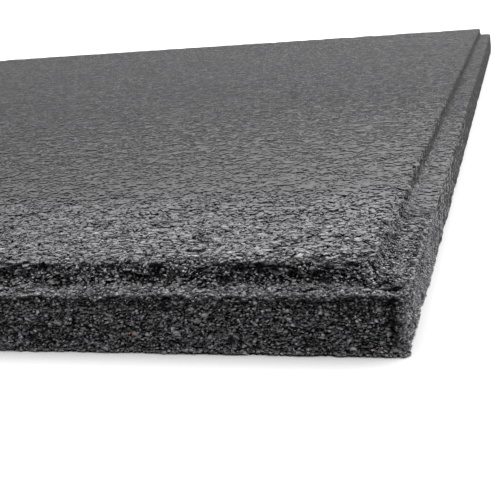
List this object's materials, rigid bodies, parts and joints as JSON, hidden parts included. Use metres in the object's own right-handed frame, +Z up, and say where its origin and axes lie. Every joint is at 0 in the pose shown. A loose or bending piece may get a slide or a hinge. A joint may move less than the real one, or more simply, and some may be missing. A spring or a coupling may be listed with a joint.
{
  "type": "rubber mat",
  "caption": "Square black rubber mat of bonded granulate, with a narrow stepped rebate all round its top face, laid as resilient floor protection.",
  "frame": {"origin": "centre of the underside, on the floor", "axes": "+Z up through the thickness, X and Y along the sides, with the pictured corner at +X -Y"},
  "size_m": [1, 1, 0.03],
  "materials": {
    "granulate_rubber": "black bonded rubber granulate, matt to satin, grainy and slightly porous, with very few coloured crumbs"
  },
  "bodies": {
    "root": {"rubber_mat": "granulate_rubber"}
  },
  "joints": []
}
